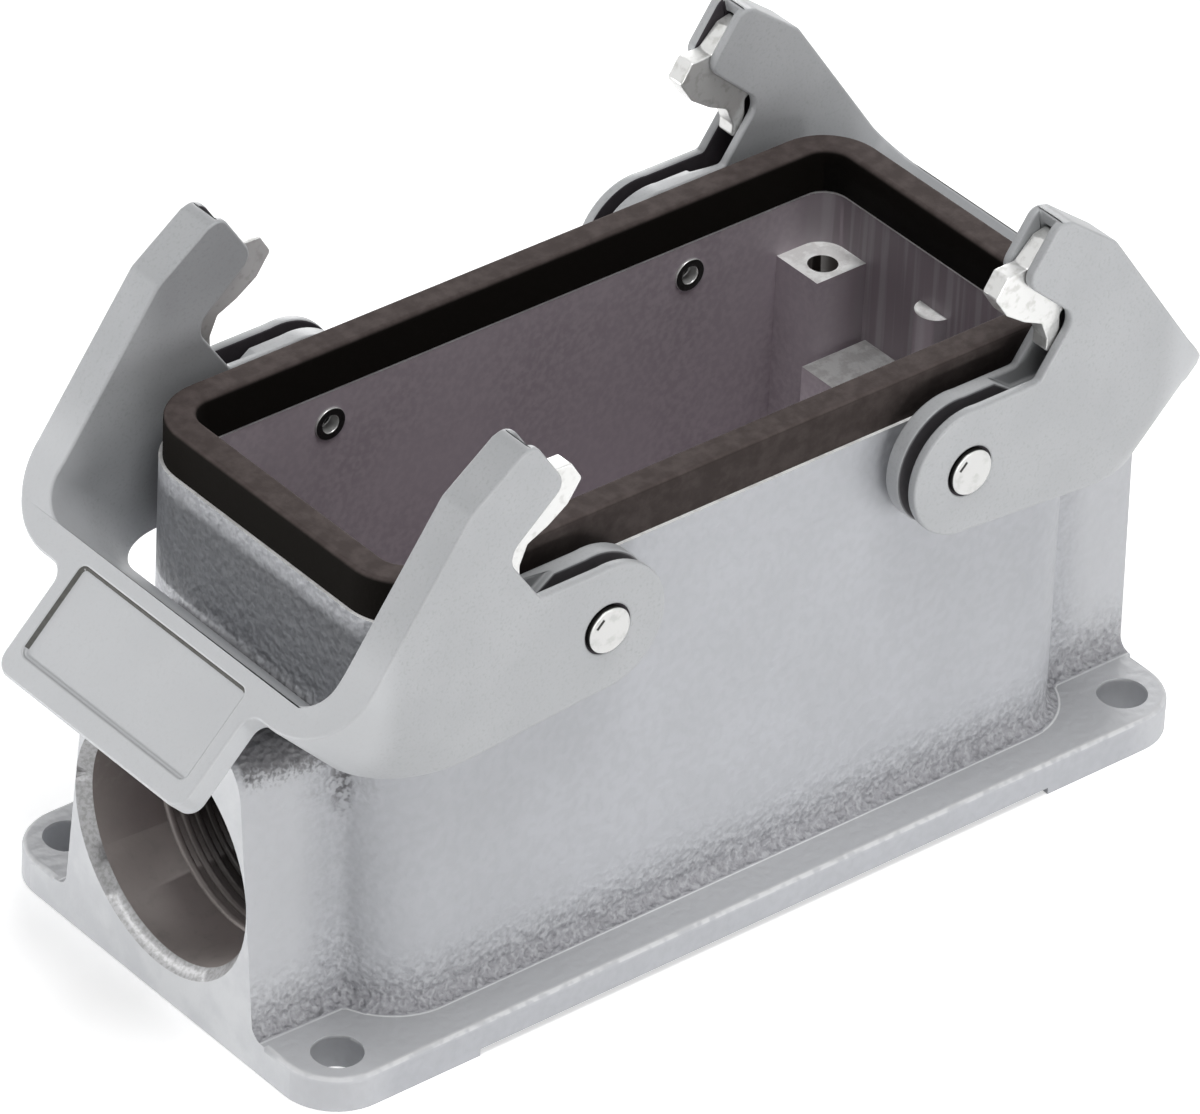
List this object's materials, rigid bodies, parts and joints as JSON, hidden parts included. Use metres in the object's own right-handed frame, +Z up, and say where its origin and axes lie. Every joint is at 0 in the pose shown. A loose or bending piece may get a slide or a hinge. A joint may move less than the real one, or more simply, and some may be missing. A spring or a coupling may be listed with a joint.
{
  "type": "heavy duty rectangular connector housing",
  "caption": "Surface-mounting die-cast housing for a heavy duty rectangular connector, with a rim seal, side cable entry and two pivoting locking levers, shown open.",
  "frame": {"origin": "middle of the housing's footprint, on the mounting plane", "axes": "+X along the housing away from the cable entry, +Z up out of the panel"},
  "size_m": [0.1352, 0.0556, 0.0723],
  "materials": {
    "coated_casting": "light grey powder coat with a fine orange peel over an aluminium die casting",
    "seal_rubber": "matt black moulded rubber",
    "lever_moulding": "smooth light grey moulding",
    "stainless_steel": "bright stamped and turned stainless steel",
    "washer_plastic": "black plastic"
  },
  "bodies": {
    "housing_body": {"housing": "coated_casting", "rim_seal": "seal_rubber", "entry_pin_front": "stainless_steel", "entry_pin_back": "stainless_steel", "far_pin_front": "stainless_steel", "far_pin_back": "stainless_steel", "entry_washer_front": "washer_plastic", "entry_washer_back": "washer_plastic", "far_washer_front": "washer_plastic", "far_washer_back": "washer_plastic"},
    "entry_lever_body": {"entry_lever": "lever_moulding", "entry_hook_front": "stainless_steel", "entry_hook_back": "stainless_steel"},
    "far_lever_body": {"far_lever": "lever_moulding", "far_hook_front": "stainless_steel", "far_hook_back": "stainless_steel"}
  },
  "joints": [
    {"name": "entry_lever_hinge", "type": "hinge", "parent": "housing_body", "child": "entry_lever_body", "pos_m": [-0.0237, 0, 0.0466], "axis": [0, 1, 0], "range_deg": [0, 42]},
    {"name": "far_lever_hinge", "type": "hinge", "parent": "housing_body", "child": "far_lever_body", "pos_m": [0.0237, 0, 0.0466], "axis": [0, -1, 0], "range_deg": [0, 42]}
  ]
}
